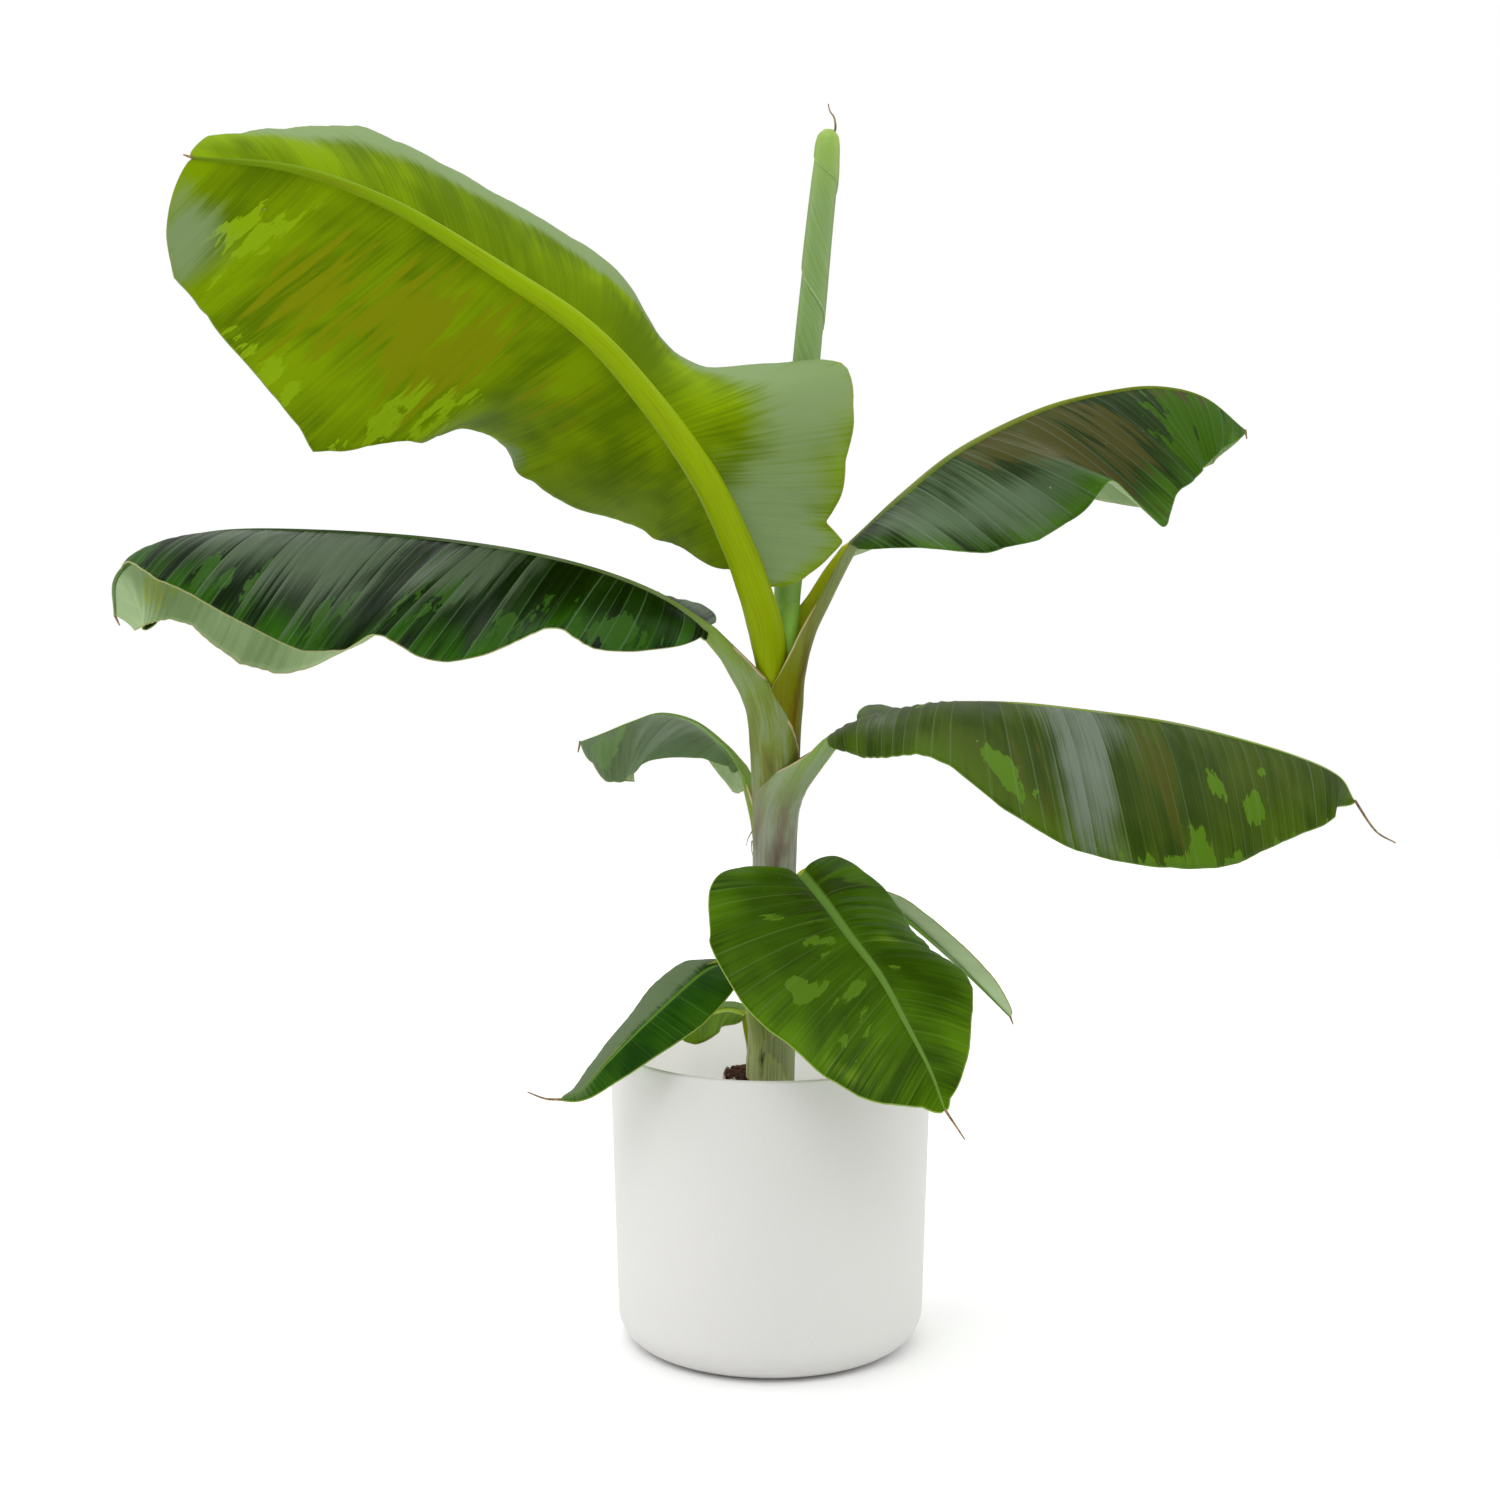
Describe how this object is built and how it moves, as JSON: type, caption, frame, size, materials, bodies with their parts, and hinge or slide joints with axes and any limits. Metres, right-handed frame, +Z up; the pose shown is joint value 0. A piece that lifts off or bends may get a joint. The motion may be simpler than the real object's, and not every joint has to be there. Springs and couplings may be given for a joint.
{
  "type": "potted banana plant",
  "caption": "A young banana plant in a round white pot: a stem of wrapped leaf bases, broad arching leaves on thick stalks, small leaves low down and a rolled new leaf upright.",
  "frame": {"origin": "the middle of the pot's flat underside", "axes": "+Z up along the stem; -Y is the front, which the low front leaf and the underside of the big upper left leaf face; the two longest leaves reach out along -X and +X"},
  "size_m": [0.9487, 0.3656, 0.9552],
  "materials": {
    "pot_white": "smooth matt off-white, a little paler and warmer inside",
    "potting_soil": "dark brown crumbly compost, rough and dry on top",
    "stem_green": "wrapped leaf bases, olive and grey-green streaked with red-brown, papery at the edges",
    "stalk_green": "smooth waxy fresh green, yellower inside the channel",
    "leaf_green": "satin dark green with paler patches, fine cross veins and a yellow-green rib",
    "young_leaf_green": "thin bright yellow-green lit through, with a grey waxy bloom in places"
  },
  "bodies": {
    "root": {"pot": "pot_white", "potting_soil": "potting_soil", "root_clump": "potting_soil", "stem": "stem_green", "stalk_upper_left": "stalk_green", "stalk_left": "stalk_green", "stalk_upper_right": "stalk_green", "stalk_right": "stalk_green", "stalk_front_low": "stalk_green", "stalk_left_low": "stalk_green", "stalk_back_left": "stalk_green", "stalk_right_low": "stalk_green", "stalk_small_low": "stalk_green", "leaf_upper_left": "young_leaf_green", "leaf_left": "leaf_green", "leaf_upper_right": "leaf_green", "leaf_right": "leaf_green", "leaf_front_low": "leaf_green", "leaf_left_low": "leaf_green", "leaf_back_left": "leaf_green", "leaf_right_low": "leaf_green", "leaf_small_low": "leaf_green", "rolled_leaf": "young_leaf_green"}
  },
  "joints": []
}
